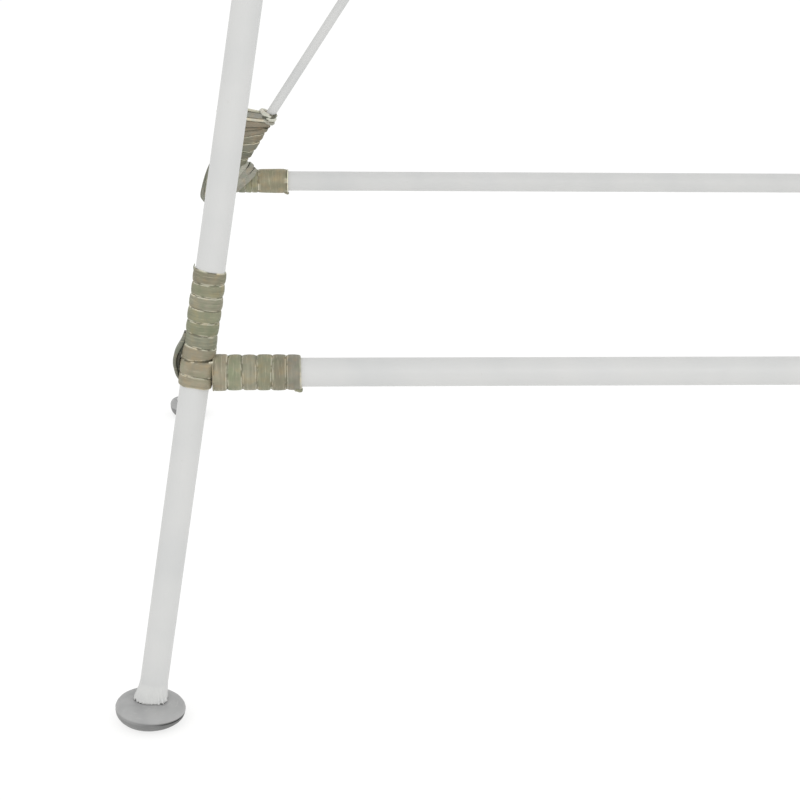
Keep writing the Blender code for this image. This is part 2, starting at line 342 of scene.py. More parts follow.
# ---- mesh helpers
class Soup:
    """Grids of points gathered into one mesh, each grid with its own tint."""

    def __init__(self):
        self.points = []
        self.faces = []
        self.tints = []
        self.count = 0

    def grid(self, points, tint, close_rows, close_columns):
        """Add a grid of quads; returns the number of its first point."""
        rows, columns = points.shape[:2]
        first = self.count
        self.points.append(points.reshape(-1, 3))
        self.count += rows * columns
        tint = np.broadcast_to(np.array(tint, dtype=float), (rows, columns, 3))
        self.tints.append(tint.reshape(-1, 3))
        for i in range(rows if close_rows else rows - 1):
            row = first + i * columns
            after = first + (i + 1) % rows * columns
            for j in range(columns if close_columns else columns - 1):
                after_j = (j + 1) % columns
                self.faces.append((row + j, row + after_j, after + after_j, after + j))
        return first

    def tube(self, points, tint):
        """Add a grid that is closed round, with a face on its first and its last row."""
        first = self.grid(points, tint, False, True)
        columns = points.shape[1]
        self.faces.append(tuple(range(first, first + columns))[::-1])
        self.faces.append(tuple(range(self.count - columns, self.count)))


def around(count):
    """Angles of evenly spaced points round a full turn."""
    return [2.0 * pi * step / count for step in range(count)]


def make_object(name, soup, matrix, mat, sharp_deg=None):
    """Smooth-shaded object from a soup, placed by its matrix."""
    mesh = bpy.data.meshes.new(name)
    points = np.concatenate(soup.points)
    mesh.from_pydata(points.tolist(), [], soup.faces)
    tint = mesh.attributes.new("tint", "FLOAT_COLOR", "POINT")
    colours = np.concatenate(soup.tints)
    tint.data.foreach_set("color", np.hstack([colours, np.ones((len(colours), 1))]).ravel())
    mesh.polygons.foreach_set("use_smooth", [True] * len(mesh.polygons))
    if sharp_deg is not None:
        mesh.set_sharp_from_angle(angle=radians(sharp_deg))
    mesh.materials.append(mat)
    mesh.update()
    obj = bpy.data.objects.new(name, mesh)
    obj.matrix_world = matrix
    SCENE.collection.objects.link(obj)
    return obj


def turned(profile, sides):
    """Solid of revolution about local Z; the profile starts and ends close to the axis."""
    soup = Soup()
    angles = np.linspace(0.0, 2.0 * pi, sides, endpoint=False)
    radius = np.array([p[0] for p in profile])[:, None]
    height = np.array([p[1] for p in profile])[:, None]
    points = np.stack([radius * np.cos(angles), radius * np.sin(angles), height + 0.0 * angles],
                      axis=2)
    soup.tube(points, (1.0, 1.0, 1.0))
    return soup


def wobble(x, y, z, seed):
    """Smooth noise, shifted by the seed."""
    return noise.noise(Vector((x + 17.3 * seed, y - 9.1 * seed, z + 5.7 * seed)))


def between(a, b, share):
    return a * (1.0 - share) + b * share


# ---- tubes and rods
# Radius at which a turned profile ends near its axis, steps of a rounded edge, span of a bar.
AXIS_R = 0.0002
ROUND_STEPS = 4
BAR_SPAN = 0.12
# How far the bars' ends are rounded, and where the cross rails end beside the legs' axes.
LEG_ROUND = 0.0045
RAIL_ROUND = 0.0006
BRACE_ROUND = 0.0012
ROD_ROUND = 0.001
RAIL_START = 0.6


def build_bar(node, start, end, radius, end_round, sides=56):
    """Painted bar with rounded ends, standing for one CAD tube or rod."""
    length = (end - start).length
    corner = []
    for step in range(ROUND_STEPS + 1):
        angle = radians(90.0 * step / ROUND_STEPS)
        corner.append((radius - end_round * (1.0 - sin(angle)), end_round * (1.0 - cos(angle))))
    spans = max(2, int(length / BAR_SPAN))
    shaft = [(radius, end_round + (length - 2.0 * end_round) * step / spans)
             for step in range(1, spans)]
    far_corner = [(r, length - z) for r, z in reversed(corner)]
    profile = [(AXIS_R, 0.0)] + corner + shaft + far_corner + [(AXIS_R, length)]
    hint = WORLD_Y if abs((end - start).normalized().y) < 0.8 else WORLD_X
    matrix = local_frame(start, end - start, hint)
    obj = make_object("painted_" + node, turned(profile, sides), matrix, PAINT, 60.0)
    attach(obj, "frame")
    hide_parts(node)


def build_tubes():
    for (row, hand), (start, end, radius) in LEGS.items():
        build_bar(f"leg_{row}_{hand}", start, end, radius, LEG_ROUND)
    for tier in ("lower", "top"):
        for row in ROWS:
            joints = [leg_at(row, hand, HEIGHTS[tier]) for hand, _ in SIDES]
            along = (joints[1] - joints[0]).normalized()
            build_bar(f"rail_{tier}_{row}", joints[0] + along * RAIL_START * D,
                      joints[1] - along * RAIL_START * D, TUBE_R, RAIL_ROUND)
    bars = [(f"rail_{tier}_{hand}", RAIL_ROUND, 56) for tier in HEIGHTS for hand, _ in SIDES]
    bars += [(f"brace_from_lower_{hand}", BRACE_ROUND, 40) for hand, _ in SIDES]
    rods = [node for node in sorted(frame["nodes"]) if node.startswith("drying_rod")]
    bars += [(node, ROD_ROUND, 36) for node in rods]
    for node, end_round, sides in bars:
        build_bar(node, *node_axis(node), end_round, sides)


# ---- cane strips
# Cross-section of a strip from edge to edge: share of its width, share of its thickness.
STRIP = ((0.0, 0.0), (0.0, 0.45), (0.02, 0.74), (0.06, 0.91), (0.13, 1.0), (0.25, 1.0),
         (0.42, 1.0), (0.58, 1.0), (0.75, 1.0), (0.87, 1.0), (0.94, 0.91), (0.98, 0.74),
         (1.0, 0.45), (1.0, 0.0))
# A strip's edge: how much of its width it takes, and how much painted shade darkens it where no
# painted highlight shows.
EDGE_SHARE = 0.088
EDGE_PAINTED_SHADE = 0.4
SLOPE_PASSES = 3
# Shape of the collar's flattened side, and how far the core stops short of the turns on it.
BOX_POWER = 0.45
CORE_INSET_LOW = 0.0008
CORE_INSET_HIGH = 0.0006
CORE_SIDES = 48


def round_path(radius, count):
    """Circle round a bar: its points and their normals, the same at any height."""
    angles = np.linspace(0.0, 2.0 * pi, count, endpoint=False)
    normals = np.stack([np.cos(angles), np.sin(angles)], axis=1)
    return lambda height: (normals * radius, normals)


def boxy_path(radius, reach, count):
    """Round on the outer side, flattened out to the given reach on the rail's side."""
    points = []
    for angle in around(count):
        c = cos(angle)
        s = sin(angle)
        if c > 0.0:
            points.append((reach * c ** BOX_POWER, radius * copysign(abs(s) ** BOX_POWER, s)))
        else:
            points.append((radius * c, radius * s))
    points = np.array(points)
    along = np.roll(points, -1, axis=0) - np.roll(points, 1, axis=0)
    normals = np.stack([along[:, 1], -along[:, 0]], axis=1)
    normals /= np.linalg.norm(normals, axis=1)[:, None]
    return lambda height: (points, normals)


# Points of a path round two bars: on the rod's arc, and on each straight stretch.
ARC_POINTS = 10
LINE_POINTS = 12


def pair_path(leg_r, rod_r, rod_centre):
    """Closed path round a leg and the rod beside it, at any height along the leg."""
    def path(height):
        centre = rod_centre(height)
        gap = np.linalg.norm(centre)
        facing = atan2(centre[1], centre[0])
        spread = acos(max(-1.0, min(1.0, (leg_r - rod_r) / gap)))
        points = []
        normals = []
        for step in range(ARC_POINTS):
            angle = facing - spread + 2.0 * spread * step / (ARC_POINTS - 1.0)
            normal = np.array([cos(angle), sin(angle)])
            points.append(centre + normal * rod_r)
            normals.append(normal)
        leg_arc = []
        for step in range(2 * ARC_POINTS):
            turn = (2.0 * pi - 2.0 * spread) * step / (2.0 * ARC_POINTS - 1.0)
            angle = facing + spread + turn
            leg_arc.append(np.array([cos(angle), sin(angle)]))

        def straight(start, end, normal):
            for step in range(1, LINE_POINTS):
                points.append(between(start, end, step / LINE_POINTS))
                normals.append(normal)

        straight(points[-1], leg_arc[0] * leg_r, leg_arc[0])
        points.extend(normal * leg_r for normal in leg_arc)
        normals.extend(leg_arc)
        straight(leg_arc[-1] * leg_r, points[0], leg_arc[-1])
        return np.array(points), np.array(normals)
    return path


def edge_highlight_share(x, y, pale, seed):
    """Share of an edge that carries the cream painted highlight, in patches along the turn."""
    highlight = pale + 3.2 * wobble(x * 1.7, y * 1.7, 1.0, seed)
    highlight += 1.4 * wobble(x * 6.0, y * 6.0, 3.0, seed)
    return max(0.0, min(1.0, highlight))


def add_turn(soup, path, low, high, thickness, bulge, seed, tint, tilt=(0.0, 0.0),
             slope=(0.0, 0.0), ragged=0.00022, lumps=0.00016, pale=0.55):
    """One flat turn of cane between two heights.

    Tilt leans its low and high edge by the way they face, slope by how far out they
    are; pale is how much of each edge carries the cream painted highlight, and the rest
    of each edge is darkened as painted shade."""
    rows = []
    tints = []
    low_points, low_normals = path(low)
    high_points, high_normals = path(high)
    span = high - low
    for share, lift in STRIP:
        row = np.zeros((len(low_points), 3))
        colours = np.zeros((len(low_points), 3))
        crown = bulge * (1.0 - (2.0 * share - 1.0) ** 2) if lift > 0.0 else 0.0
        edge = max(0.0, 1.0 - min(share, 1.0 - share) / EDGE_SHARE)
        for j in range(len(low_points)):
            x, y = between(low_normals[j], high_normals[j], share)
            point = between(low_points[j], high_points[j], share)
            ragged_low = ragged * wobble(x * 2.2, y * 2.2, 0.0, seed)
            ragged_high = ragged * wobble(x * 2.2, y * 2.2, 4.0, seed + 3)
            for _ in range(SLOPE_PASSES):
                edge_low = low + tilt[0] * x + slope[0] * point[0] + ragged_low
                edge_high = high + tilt[1] * x + slope[1] * point[0] + ragged_high
                z = edge_low + (edge_high - edge_low) * share
                point = between(low_points[j], high_points[j], (z - low) / span)
            rise = lift * thickness + crown
            if lift > 0.0:
                rise += lumps * wobble(x * 1.6, y * 1.6, share * 1.4, seed + 7)
                rise += 0.4 * lumps * wobble(x * 5.0, y * 5.0, share * 3.0, seed + 11)
            row[j] = (point[0] + x * rise, point[1] + y * rise, z)
            # Patchy cream painted highlight on the strip's edges; where it is missing, the edge is
            # darkened as painted shade.
            highlight = edge * edge_highlight_share(x, y, pale, seed + (21 if share > 0.5 else 37))
            shade = 1.0 + 0.16 * wobble(x * 1.9, y * 1.9, share, seed + 31)
            seam_shade = 1.0 - EDGE_PAINTED_SHADE * edge
            colours[j] = [c * shade * seam_shade * (1.0 - highlight) + highlight_colour * highlight
                          for c, highlight_colour in zip(tint, CREAM)]
        rows.append(row)
        tints.append(colours)
    soup.grid(np.array(rows)[::-1], np.array(tints)[::-1], True, True)


def add_shade_layer(soup, radius, low, high):
    """Dark layer under the turns: painted shade, seen only where two of them part."""
    path_out = round_path(radius, CORE_SIDES)(0.0)[0]
    path_in = round_path(CANE_R, CORE_SIDES)(0.0)[0]
    low = low + CORE_INSET_LOW
    high = high - CORE_INSET_HIGH
    rows = []
    for points, z in ((path_in, low), (path_out, low), (path_out, high), (path_in, high)):
        rows.append(np.hstack([points, np.full((CORE_SIDES, 1), z)]))
    soup.grid(np.array(rows)[::-1], GAP_SHADE_TINT, True, True)


def add_ribbon(soup, stations, width, thickness, tint, closed=False):
    """Flat strip swept along stations: a point, the way across it and the way it faces."""
    rows = []
    for share, lift in STRIP:
        rows.append([np.array(point) + np.array(across) * width * (share - 0.5)
                     + np.array(out) * thickness * lift for point, across, out in stations])
    points = np.array(rows)
    first = soup.grid(points[::-1], tint, True, closed)
    if not closed:
        ends = [first + i * len(stations) for i in range(len(STRIP))]
        soup.faces.append(tuple(ends))
        soup.faces.append(tuple(i + len(stations) - 1 for i in reversed(ends)))


def add_cord_strand(soup, centre_line, radius, tint, sides=10):
    """Thin round strand through points, with closed ends."""
    points = [Vector(p) for p in centre_line]
    rows = []
    side_way = WORLD_Z
    for index, point in enumerate(points):
        ahead = points[min(index + 1, len(points) - 1)] - points[max(index - 1, 0)]
        ahead.normalize()
        side_way = (side_way - ahead * side_way.dot(ahead)).normalized()
        other = ahead.cross(side_way)
        thin = radius * (0.35 if index in (0, len(points) - 1) else 1.0)
        rows.append([tuple(point + (side_way * cos(angle) + other * sin(angle)) * thin)
                     for angle in around(sides)])
    soup.tube(np.array(rows), tint)


def catmull(points, steps):
    """Smooth curve through the points."""
    held = [np.array(p, dtype=float) for p in points]
    held = [2.0 * held[0] - held[1]] + held + [2.0 * held[-1] - held[-2]]
    out = []
    for i in range(1, len(held) - 2):
        a, b, c, d = held[i - 1:i + 3]
        for step in range(steps):
            t = step / float(steps)
            out.append(0.5 * (2.0 * b + (c - a) * t + (2.0 * a - 5.0 * b + 4.0 * c - d) * t * t
                              + (3.0 * b - a - 3.0 * c + d) * t ** 3))
    out.append(held[-2])
    return out


def tint_of(number, seed):
    """Tint of one turn, a little lighter or darker than the next."""
    base = TINTS[(number * 3 + seed * 5) % len(TINTS)]
    shade = 1.0 + 0.07 * sin(12.9 * number + 4.1 * seed)
    return scaled(base, shade)


# ---- lashings
# Heights along a leg or rail from the joint: whole turns of one pitch follow the collar.
LEG_TURNS = 7
LEG_PITCH = 0.444 * D
LEG_WRAP_START = 0.545 * D
COLLAR_LOW = -0.44 * D
COLLAR_SPLIT = -0.03 * D
RAIL_TURNS = 5
RAIL_PITCH = 0.505 * D
RAIL_FIRST = 0.58 * D
RAIL_WRAP_START = 1.07 * D
# Cane on a leg, then on a rail: core thickness, turn thickness, bulge, edge tilt, gap.
LEG_CORE, LEG_THICK, LEG_BULGE, LEG_TILT, LEG_GAP = 0.00055, 0.00072, 0.00048, 0.0004, 0.00016
RAIL_CORE, RAIL_THICK, RAIL_BULGE, RAIL_TILT, RAIL_GAP = 0.0015, 0.0018, 0.00038, 0.00045, 0.00018
THICK_WAVE = 0.00012
TURN_SIDES = 64
COLLAR_SIDES = 96
# Broad turns on a back cross rail in tube diameters: low, high, number of the tint, shade.
BROAD_TURNS = ((0.58, 1.02, 2, 1.0), (1.02, 1.4, 6, 0.9), (1.4, 1.72, 1, 0.85),
               (1.72, 2.02, 3, 0.95))
BROAD_LAST = 2.02
BROAD_RIM = 0.0009
# The cane's tucked end: steps, angles in degrees, how far out of the bar's axis.
CURL_STEPS = 14
CURL_FROM = 212.0
CURL_SWEEP = 66.0
CURL_R = TUBE_R + 0.0019

# Strap stations in tube diameters: along the side rail, up from its axis, out from the leg's.
FRONT_STRAP = (
    (0.0, 1.36, 0.48), (0.0, 1.18, 0.52), (0.02, 0.98, 0.575), (0.07, 0.77, 0.655),
    (0.13, 0.56, 0.715), (0.21, 0.34, 0.725), (0.3, 0.12, 0.69), (0.38, -0.1, 0.62),
    (0.46, -0.27, 0.53), (0.52, -0.4, 0.43))
BACK_STRAP = (
    (0.0, 0.74, 0.48), (0.1, 0.54, 0.545), (0.25, 0.3, 0.605), (0.45, 0.08, 0.645),
    (0.75, -0.14, 0.665), (1.1, -0.28, 0.668), (1.5, -0.39, 0.665), (1.9, -0.49, 0.65),
    (2.25, -0.55, 0.6), (2.52, -0.55, 0.51), (2.74, -0.48, 0.4))
# Layers of a strap: how far in, width, shade.
FRONT_LAYERS = ((0.0, 0.0078, 1.0), (0.0024, 0.0066, 0.35))
BACK_LAYERS = ((0.0, 0.007, 1.0), (0.0019, 0.0082, 1.25), (0.0038, 0.009, 0.95))
STRAP_THICK = 0.0022
# Where along the side rail, in tube diameters, a strap has turned to face out from the rail.
STRAP_ON_RAIL = 1.6


def place_cane(name, soup, matrix):
    """Piece of cane, fixed to the frame."""
    obj = make_object(name, soup, matrix, CANE)
    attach(obj, "frame")
    return obj


def build_leg_wrap(tier, row, hand, side, way, seed):
    """Collar at the rail, then turns up or down the leg."""
    joint = leg_at(row, hand, HEIGHTS[tier])
    matrix = local_frame(joint, leg_up(row, hand) * way, Vector((-side, 0.0, 0.0)))
    soup = Soup()
    path = round_path(CANE_R, TURN_SIDES)
    top = LEG_WRAP_START + LEG_TURNS * LEG_PITCH
    add_shade_layer(soup, TUBE_R + LEG_CORE, COLLAR_LOW, top)
    wide_path = boxy_path(CANE_R, TUBE_R + 0.0004, COLLAR_SIDES)
    add_turn(soup, wide_path, COLLAR_LOW, COLLAR_SPLIT - 0.0001, 0.00105, 0.0003, seed,
             COLLAR_TINT, tilt=(0.0002, 0.0), lumps=0.0003, ragged=0.0004, pale=0.6)
    add_turn(soup, wide_path, COLLAR_SPLIT, LEG_WRAP_START - 0.0003, 0.0011, 0.00038, seed + 2,
             scaled(COLLAR_TINT, 0.98), tilt=(0.0, 0.0013), lumps=0.0003, ragged=0.0004)
    for number in range(LEG_TURNS):
        low = LEG_WRAP_START + number * LEG_PITCH
        high = low + LEG_PITCH - LEG_GAP
        tilt = [LEG_TILT * sin(2.3 * (number + edge) + seed) for edge in (0, 1)]
        tint = tint_of(number, seed)
        if number == 0:
            tilt = (0.0015, -0.0008)
            tint = scaled(COLLAR_TINT, 0.9)
        if number == 1:
            tilt[0] = -0.0008
        thick = LEG_THICK + THICK_WAVE * sin(1.7 * number + 2.0 * seed)
        add_turn(soup, path, low, high, thick, LEG_BULGE, seed * 13 + number, tint, tilt,
                 pale=0.65)
    # A short spur of cane sticks up from under the last turn, on the outer side.
    spur = 0.3 * cos(seed)
    tip = [(-(TUBE_R + 0.0009), 0.009 * spur, top - 0.0032),
           (-(TUBE_R + 0.0012), 0.0095 * spur, top - 0.0002),
           (-(TUBE_R + 0.0009), 0.01 * spur, top + 0.0018)]
    add_cord_strand(soup, tip, 0.00045, tint_of(2, seed), 6)
    obj = place_cane(f"cane_leg_wrap_{tier}_{row}_{hand}", soup, matrix)
    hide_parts(f"lashing_{tier}_{row}_{hand}")


def build_strap(tier, row, hand, side, way, seed):
    """Loose strip in layers across the outer side of the joint, from leg to side rail."""
    joint = leg_at(row, hand, HEIGHTS[tier])
    along = side_rail_way(tier, row, hand).normalized()
    up = leg_up(row, hand) * way
    out = Vector((side, 0.0, 0.0))
    out = (out - up * out.dot(up)).normalized()
    stations, layers = (FRONT_STRAP, FRONT_LAYERS) if row == "front" else (BACK_STRAP, BACK_LAYERS)
    spots = [tuple((along * a + up * rise + out * reach) * D) for a, rise, reach in stations]
    line = catmull(spots, 4)
    last = len(line) - 1
    soup = Soup()
    for layer, (inset, width, shade) in enumerate(layers):
        swept = []
        for index, spot in enumerate(line):
            ahead = Vector(line[min(index + 1, last)] - line[max(index - 1, 0)]).normalized()
            spot = Vector(spot)
            reached = spot.dot(along)
            on_rail = min(1.0, max(0.0, reached / (STRAP_ON_RAIL * D)))
            radial = (spot - along * reached).normalized()
            face = out.lerp(radial, on_rail)
            face = (face - ahead * face.dot(ahead)).normalized()
            cross = ahead.cross(face)
            fade = sin(pi * index / last) ** 0.4
            sway = 0.0004 * wobble(index * 0.23, layer, 0.0, seed)
            swept.append((spot - face * inset * fade + cross * sway, cross, face))
        add_ribbon(soup, swept, width, STRAP_THICK, scaled(STRAP_TINT, shade))
    matrix = local_frame(joint, WORLD_Z, WORLD_X)
    place_cane(f"cane_strap_{tier}_{row}_{hand}", soup, matrix)


def build_rail_wrap(tier, row, hand, way_name, along, seed):
    """Turns along one rail, away from the leg, with the cane's end tucked at the last one."""
    joint = leg_at(row, hand, HEIGHTS[tier])
    matrix = local_frame(joint, along, WORLD_Z)
    soup = Soup()
    path = round_path(CANE_R, TURN_SIDES)
    end = RAIL_WRAP_START + RAIL_TURNS * RAIL_PITCH
    broad = row == "back" and way_name == "cross"
    add_shade_layer(soup, TUBE_R + RAIL_CORE, RAIL_FIRST, end)
    if broad:
        for number, (low, high, colour, shade) in enumerate(BROAD_TURNS):
            add_turn(soup, path, low * D, high * D - 0.0001, 0.00185, 0.00012,
                     seed * 17 + number + 60, scaled(tint_of(colour, seed), shade),
                     ragged=0.0003, pale=0.3)
        add_turn(soup, path, BROAD_LAST * D, end - BROAD_RIM, 0.00205, 0.00022, seed * 17 + 70,
                 BROAD_TINT, lumps=0.00045, pale=0.1)
        add_turn(soup, path, end - BROAD_RIM, end, 0.0019, 0.0, seed * 17 + 71, CREAM,
                 ragged=0.0004, pale=0.8)
    else:
        # A wide first turn with a rim of cream painted highlight where it meets the collar.
        add_turn(soup, path, RAIL_FIRST, RAIL_WRAP_START - 0.0002, 0.00225, 0.00025, seed + 40,
                 scaled(COLLAR_TINT, 0.97), tilt=(0.0, 0.0003), lumps=0.0003, pale=0.9)
        add_turn(soup, path, RAIL_FIRST - 0.0003, RAIL_FIRST + 0.0005, 0.00262, 0.0, seed + 44,
                 COLLAR_TINT, ragged=0.0003, pale=1.2)
        for number in range(RAIL_TURNS):
            low = RAIL_WRAP_START + number * RAIL_PITCH
            high = low + RAIL_PITCH - RAIL_GAP
            tilt = [RAIL_TILT * sin(1.9 * (number + edge) + 0.7 * seed) for edge in (0, 1)]
            thick = RAIL_THICK + THICK_WAVE * sin(2.1 * number + seed)
            add_turn(soup, path, low, high, thick, RAIL_BULGE, seed * 17 + number + 50,
                     scaled(tint_of(number + 2, seed), 1.0 - 0.035 * number), tilt,
                     ragged=0.0004, pale=0.9)
    curl = []
    for step in range(CURL_STEPS + 1):
        share = step / CURL_STEPS
        angle = radians(CURL_FROM - CURL_SWEEP * share)
        reach = CURL_R + 0.001 * sin(pi * share)
        swing = end - 0.0026 + 0.003 * sin(pi * share) - 0.0012 * share
        curl.append((reach * cos(angle), reach * sin(angle), swing))
    add_cord_strand(soup, curl, 0.00115, tint_of(4, seed), 10)
    if not broad:
        inner = [(x * 0.985, y * 0.985, z - 0.0022) for x, y, z in curl[2:-2]]
        add_cord_strand(soup, inner, 0.00085, PALE_TINT, 10)
    place_cane(f"cane_rail_wrap_{tier}_{row}_{hand}_{way_name}", soup, matrix)


def build_joint(tier, row, hand, side, way, seed):
    """All the cane at one joint; no cross rail meets the legs in the middle."""
    build_leg_wrap(tier, row, hand, side, way, seed)
    build_strap(tier, row, hand, side, way, seed)
    along = side_rail_way(tier, row, hand)
    build_rail_wrap(tier, row, hand, "side", along, seed + 1)
    if tier != "middle":
        build_rail_wrap(tier, row, hand, "cross", Vector((-side, 0.0, 0.0)), seed + 2)


# ---- cane web between a back leg and a brace
# Strands in tube diameters up the leg: low, high, slopes of both edges, painted highlight on the
# edges, tint.
WEB_STRANDS = ((0.96, 1.01, 0.16, 0.35, 0.9, SHADE_TINT),
               (1.07, 1.56, 0.35, 0.24, 1.1, (0.165, 0.162, 0.124)),
               (1.61, 1.92, 0.24, 0.29, 1.1, (0.185, 0.18, 0.14)),
               (1.97, 2.22, 0.29, 0.36, 0.9, (0.205, 0.186, 0.138)),
               (2.27, 2.6, 0.36, 0.3, 0.0, (0.23, 0.2, 0.15)),
               (2.63, 2.92, 0.3, 0.16, 0.1, (0.205, 0.17, 0.124)),
               (2.94, 3.37, 0.16, 0.06, 0.3, (0.235, 0.2, 0.15)),
               (3.41, 3.57, 0.06, 0.05, 0.9, (0.5, 0.48, 0.4)),
               (3.6, 3.92, 0.05, 0.0, 0.0, (0.25, 0.25, 0.22)))
# The dark layer of painted shade under the strands, in tube diameters up the leg, and where the
# loops are centred.
WEB_UNDER = (1.0, 3.8)
WEB_LOOP_MIDDLE = 3.66
# Loops round the brace at the web's top: height and radius, direction of the high side, tint; the
# second, near-black loop is painted shade beside the pale one.
WEB_LOOPS = ((3.8, 0.0022, 165.0, (0.58, 0.57, 0.5)),
             (3.76, 0.0021, 15.0, (0.105, 0.104, 0.08)),
             (3.58, 0.0014, 150.0, (0.36, 0.35, 0.3)))
# A loop's points, points in a full turn, first angle, lean, rise from point to point.
LOOP_POINTS, LOOP_TURN, LOOP_START, LOOP_TILT, LOOP_RISE = 24, 20.0, 1.9, 0.0024, 0.00012
# Corner strands in tube diameters: middle (across, up), lean in degrees, half length, half
# depth, width.
CORNER_STRANDS = ((1.2, -0.04, 40.0, 0.96, 0.69, 0.27), (0.98, 0.0, 43.0, 1.0, 0.7, 0.28),
                  (1.06, 0.16, 47.0, 0.95, 0.665, 0.27), (0.86, 0.22, 52.0, 0.99, 0.68, 0.28),
                  (0.7, 0.28, 57.0, 1.0, 0.69, 0.28), (0.5, 0.32, 61.0, 1.0, 0.695, 0.26))
CORNER_POINTS = 60
# Sideways lean of a leg, in degrees.
LEG_SPLAY = 8.6


def build_web(place, hand, side, brace_name, tier, way, seed):
    """Cane wound round a back leg and a brace's end together, over the corner of the joint."""
    joint = leg_at("back", hand, HEIGHTS[tier])
    axis = leg_up("back", hand) * way
    matrix = local_frame(joint, axis, Vector((-side, 0.0, 0.0)))
    to_local = matrix.inverted()
    start, end, rod_r = node_axis(f"brace_from_lower_{brace_name}")
    a = to_local @ start
    b = to_local @ end

    def rod_centre(height):
        share = (height - a.z) / (b.z - a.z)
        spot = a.lerp(b, share)
        return np.array([spot.x, spot.y])

    soup = Soup()
    for number, (low, high, slope_low, slope_high, pale, tint) in enumerate(WEB_STRANDS):
        path = pair_path(TUBE_R - 0.0002, rod_r + 0.0006 + 0.0003 * (number % 3), rod_centre)
        add_turn(soup, path, low * D, high * D, 0.00085 + 0.00015 * (number % 2), 0.00035,
                 seed * 7 + number + 90, tint, slope=(slope_low, slope_high),
                 ragged=0.0006 + 0.00008 * number, lumps=0.0006, pale=pale)
    # The dark layer under the strands is painted shade between them.
    under = pair_path(TUBE_R - 0.0006, rod_r + 0.0003, rod_centre)
    add_turn(soup, under, WEB_UNDER[0] * D, WEB_UNDER[1] * D, 0.0007, 0.0, seed + 130, GAP_SHADE_TINT,
             slope=(0.14, 0.0), pale=0.2)
    centre = rod_centre(WEB_LOOP_MIDDLE * D)
    for height, radius, peak, tint in WEB_LOOPS:
        loop = []
        for step in range(LOOP_POINTS):
            angle = 2.0 * pi * step / LOOP_TURN - LOOP_START
            reach = rod_r + 0.0018 + 0.5 * (radius - 0.0015)
            z = height * D + LOOP_TILT * cos(angle - radians(peak)) + LOOP_RISE * step
            loop.append((centre[0] + reach * cos(angle), centre[1] + reach * sin(angle), z))
        add_cord_strand(soup, loop, radius, tint, 10)
    for number, corner in enumerate(CORNER_STRANDS):
        add_corner_strand(soup, number, corner, seed)
    obj = place_cane(f"cane_web_{place}_{hand}", soup, matrix)
    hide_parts(f"web_{place}_{hand}")


def add_corner_strand(soup, number, corner, seed):
    """Closed loop of cane over the corner between the leg, the brace's end and the rail."""
    across_mid, up_mid, lean_deg, half_length, half_depth, width = corner
    lean = radians(lean_deg + LEG_SPLAY)
    u = np.array([cos(lean), 0.0, sin(lean)])
    n = np.array([-sin(lean), 0.0, cos(lean)])
    y = np.array([0.0, 1.0, 0.0])
    fall = radians(LEG_SPLAY)
    middle = np.array([across_mid * cos(fall) - up_mid * sin(fall), 0.0,
                       across_mid * sin(fall) + up_mid * cos(fall)]) * D
    swept = []
    for angle in around(CORNER_POINTS):
        c = cos(angle)
        sn = sin(angle)
        full = copysign(abs(sn) ** 0.8, sn)
        spot = middle + u * half_length * D * c + y * half_depth * D * full
        normal = u * c / half_length + y * sn / half_depth
        spot += n * 0.0008 * wobble(1.5 * c, 1.5 * sn, number, seed)
        swept.append((spot, n, normal / np.linalg.norm(normal)))
    shade = 0.82 + 0.1 * sin(2.4 * number + seed)
    tint = scaled(PALE_TINT if number % 2 else DULL_TINT, shade)
    add_ribbon(soup, swept, width * D, 0.0008 + 0.0002 * (number % 3), tint, closed=True)


# The crossing: turns each way, their spacing, points of a turn, its reach across the rods,
# room for its own thickness, its width.
CROSS_TURNS = 3
CROSS_PITCH = 0.004
CROSS_POINTS = 48
CROSS_REACH = 0.0078
CROSS_ROOM = 0.0022
CROSS_WIDTH = 0.0037


def build_crossing():
    """Cross lashing where the braces pass each other."""
    low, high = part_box("lashing_brace_crossing")
    centre = Vector([0.5 * (low[i] + high[i]) for i in range(3)])
    soup = Soup()
    half_depth = 0.5 * (high[1] - low[1]) - CROSS_ROOM
    for turn_set, lean in enumerate((1.0, -1.0)):
        u = Vector((lean, 0.0, 1.0)).normalized()
        n = Vector((-lean, 0.0, 1.0)).normalized()
        for number in range(CROSS_TURNS):
            offset = n * (number - 1.0) * CROSS_PITCH
            swept = []
            for angle in around(CROSS_POINTS):
                c = cos(angle)
                sn = sin(angle)
                spot = u * CROSS_REACH * c + WORLD_Y * half_depth * sn
                normal = u * c / CROSS_REACH + WORLD_Y * sn / half_depth
                swept.append((spot + offset, n, normal.normalized()))
            add_ribbon(soup, swept, CROSS_WIDTH, 0.001 + 0.0005 * turn_set,
                       tint_of(number + 3 * turn_set, 4), closed=True)
    obj = place_cane("cane_crossing_wrap", soup, Matrix.Translation(centre))
    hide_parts("lashing_brace_crossing")


# ---- glides
# Shell stations from its mouth to its rim: radius, height.
FRONT_SHELL = (
    (0.0062, 0.016), (0.009, 0.0161), (0.012, 0.016), (0.015, 0.0156), (0.018, 0.0148),
    (0.0205, 0.0137), (0.0224, 0.0123), (0.0236, 0.0107), (0.0241, 0.0091), (0.024, 0.0079))
BACK_SHELL = (
    (0.0062, 0.016), (0.0085, 0.016), (0.011, 0.0159), (0.0135, 0.0156), (0.0155, 0.015),
    (0.0171, 0.0139), (0.018, 0.0122), (0.0184, 0.0104), (0.0183, 0.0092), (0.018, 0.0084))
DOME_STATIONS = 9
